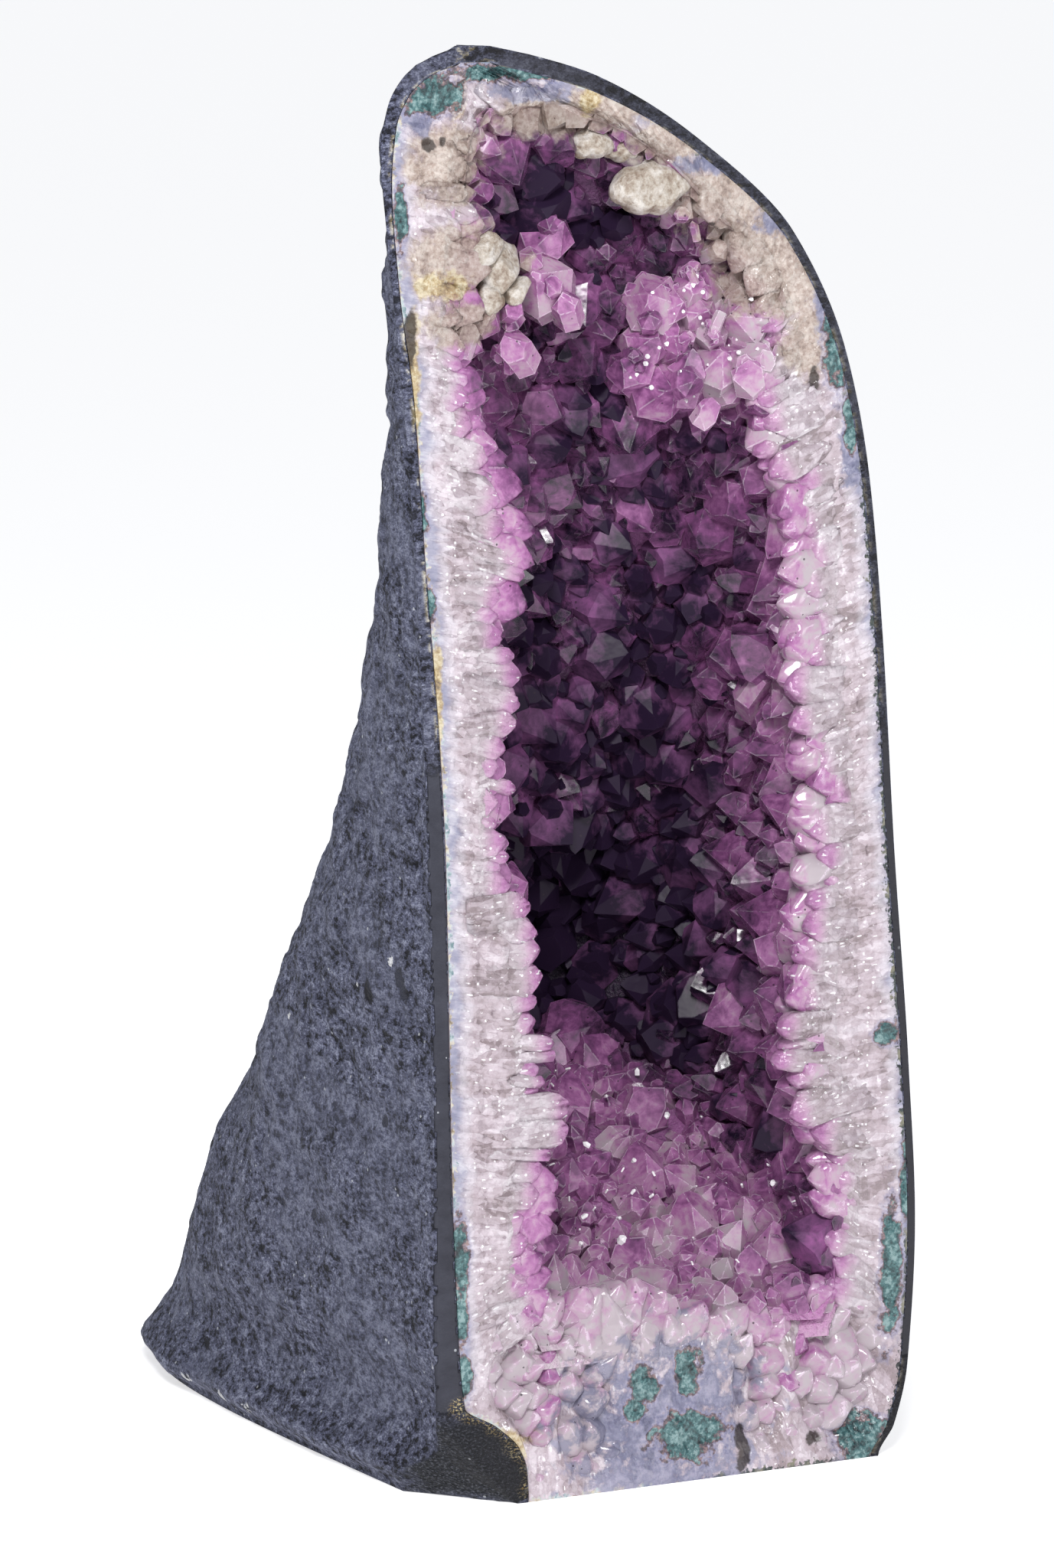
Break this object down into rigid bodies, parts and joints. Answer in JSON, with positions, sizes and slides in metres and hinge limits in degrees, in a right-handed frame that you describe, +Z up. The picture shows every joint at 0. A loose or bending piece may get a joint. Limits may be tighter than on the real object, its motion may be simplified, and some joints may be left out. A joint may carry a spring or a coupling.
{
  "type": "amethyst cathedral geode",
  "caption": "Tall hollow geode sawn flat across its front, lined with purple crystals, with a painted cement back and a level foot to stand on.",
  "frame": {"origin": "middle of the footprint, on the ground under the geode", "axes": "+Z up along the geode's height, +X to the right along the sawn face, +Y from the sawn face to the back of the foot"},
  "size_m": [0.1955, 0.2797, 0.461],
  "materials": {
    "painted_cement": "rough, matt, dark blue-grey paint",
    "agate": "sawn and part polished, pale blue-lilac agate and white quartz",
    "amethyst": "glossy see-through purple crystal faces"
  },
  "bodies": {
    "root": {"cement_back": "painted_cement", "geode_wall": "agate", "amethyst_crust": "amethyst"}
  },
  "joints": []
}
